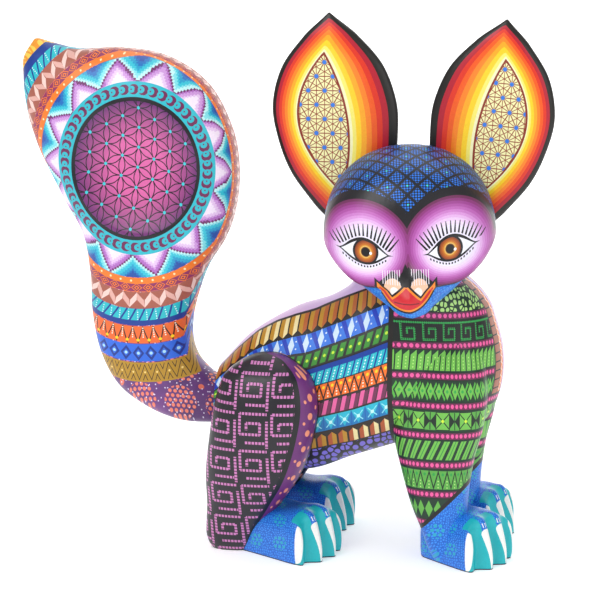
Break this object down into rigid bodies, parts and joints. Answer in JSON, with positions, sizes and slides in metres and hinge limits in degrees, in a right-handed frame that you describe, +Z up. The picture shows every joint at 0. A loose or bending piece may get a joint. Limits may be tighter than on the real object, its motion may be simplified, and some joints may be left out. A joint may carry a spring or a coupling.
{
  "type": "carved fox figure",
  "caption": "Carved and painted wooden fox, standing with its head turned to one side, with lift-out ears and a pull-off tail, made in the alebrije tradition.",
  "frame": {"origin": "on the floor under the middle of the figure's outline", "axes": "+X from the tail towards the chest, -Y the side the face looks out of, +Z up"},
  "size_m": [0.315, 0.1325, 0.315],
  "materials": {
    "painted_trunk": "satin acrylic paint",
    "painted_head": "satin acrylic paint",
    "painted_haunches": "satin acrylic paint",
    "painted_forelegs": "satin acrylic paint",
    "painted_ears": "satin acrylic paint",
    "painted_tail": "satin acrylic paint",
    "bare_wood": "bare whittled wood"
  },
  "bodies": {
    "figure": {"torso": "painted_trunk", "head": "painted_head", "neck_dowel": "bare_wood", "haunch_right": "painted_haunches", "haunch_left": "painted_haunches", "hip_dowels_right": "bare_wood", "hip_dowels_left": "bare_wood", "foreleg_right": "painted_forelegs", "foreleg_left": "painted_forelegs", "shoulder_dowels_right": "bare_wood", "shoulder_dowels_left": "bare_wood"},
    "ear_right": {"ear_right": "painted_ears", "ear_peg_right": "bare_wood"},
    "ear_left": {"ear_left": "painted_ears", "ear_peg_left": "bare_wood"},
    "tail": {"tail": "painted_tail", "tail_peg": "bare_wood"}
  },
  "joints": [
    {"name": "ear_right_pull", "type": "slide", "parent": "figure", "child": "ear_right", "axis": [-0.4384, 0, 0.8988], "range_m": [0, 0.03]},
    {"name": "ear_left_pull", "type": "slide", "parent": "figure", "child": "ear_left", "axis": [0.4384, 0, 0.8988], "range_m": [0, 0.03]},
    {"name": "tail_pull", "type": "slide", "parent": "figure", "child": "tail", "axis": [-1, 0, 0], "range_m": [0, 0.03]}
  ]
}
